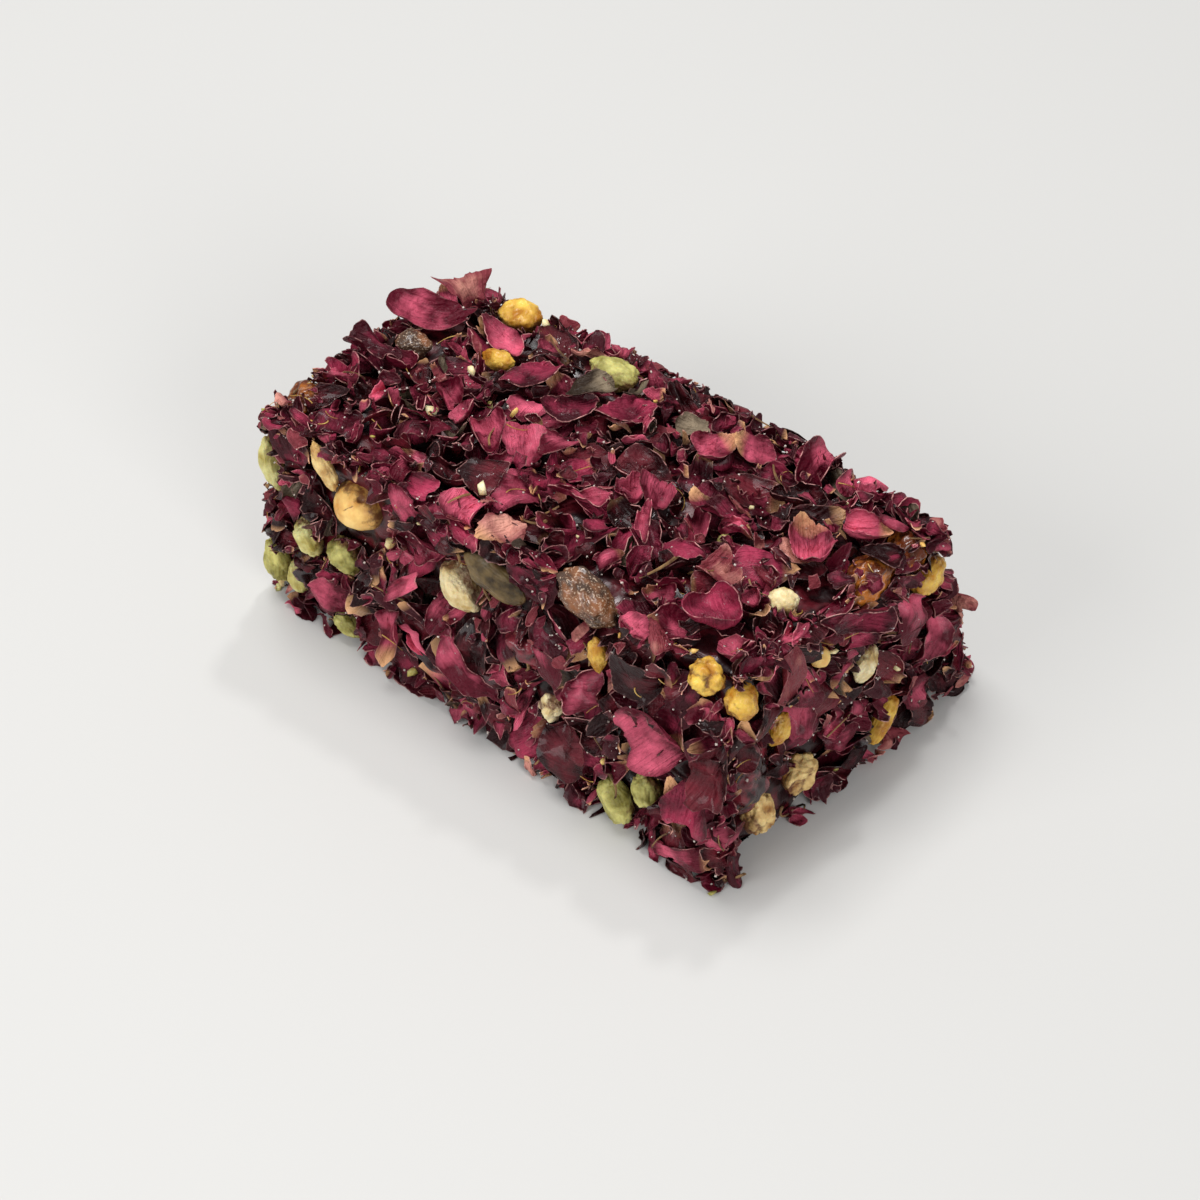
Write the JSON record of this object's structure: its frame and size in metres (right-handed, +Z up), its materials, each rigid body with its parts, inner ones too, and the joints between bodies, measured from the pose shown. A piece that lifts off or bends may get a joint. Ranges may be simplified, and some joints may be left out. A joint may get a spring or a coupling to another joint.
{
  "type": "turkish delight",
  "caption": "Hand-cut brick of rose turkish delight: dark gel clad in dried rose petals, with nuts and seeds set in its faces; rests flat on its base.",
  "frame": {"origin": "near the middle of the flat base, on the surface that the brick lies on", "axes": "+X along the brick's length towards its cut end, +Y across to the back side, +Z up"},
  "size_m": [0.0839, 0.0518, 0.0379],
  "materials": {
    "petals_in_gel": "dried petals, satin, stuck down in glossy dark red gel",
    "toasted_nut": "satin, roasted kernel",
    "green_pistachio": "satin, green kernel",
    "yellow_pistachio": "satin, yellow-green kernel",
    "pale_nut": "matt, broken pale kernel",
    "green_seed": "satin, dark green skin",
    "amber_gel": "glossy, clear brown gel with sugar on it"
  },
  "bodies": {
    "root": {"rose_petal_brick": "petals_in_gel", "hazelnut": "toasted_nut", "almond_sliver": "pale_nut", "pistachio_left": "green_pistachio", "pistachio_left_slim": "yellow_pistachio", "pistachio_left_low": "yellow_pistachio", "pistachio_edge_high": "yellow_pistachio", "pistachio_edge_low": "green_pistachio", "pistachio_base": "green_pistachio", "almond_front": "pale_nut", "pumpkin_seed": "green_seed", "gel_lump": "amber_gel", "pistachio_sliver": "yellow_pistachio", "nut_corner_high": "toasted_nut", "nut_corner_low": "yellow_pistachio", "walnut_near": "pale_nut", "walnut_far": "pale_nut", "pistachio_low": "green_pistachio", "pistachio_foot": "green_pistachio", "almond_chip": "pale_nut", "nut_top": "yellow_pistachio", "pistachio_top_small": "yellow_pistachio", "pistachio_top": "green_pistachio", "almond_top": "pale_nut", "amber_chunk": "amber_gel", "pistachio_end": "yellow_pistachio", "almond_end": "pale_nut", "nut_end_round": "toasted_nut", "nut_end_slim": "yellow_pistachio", "nut_end_chip": "yellow_pistachio", "hazelnut_back": "toasted_nut", "pistachio_back_a": "green_pistachio", "pistachio_back_b": "yellow_pistachio", "almond_back": "pale_nut", "pistachio_left_side": "green_pistachio", "nut_left_side": "toasted_nut"}
  },
  "joints": []
}
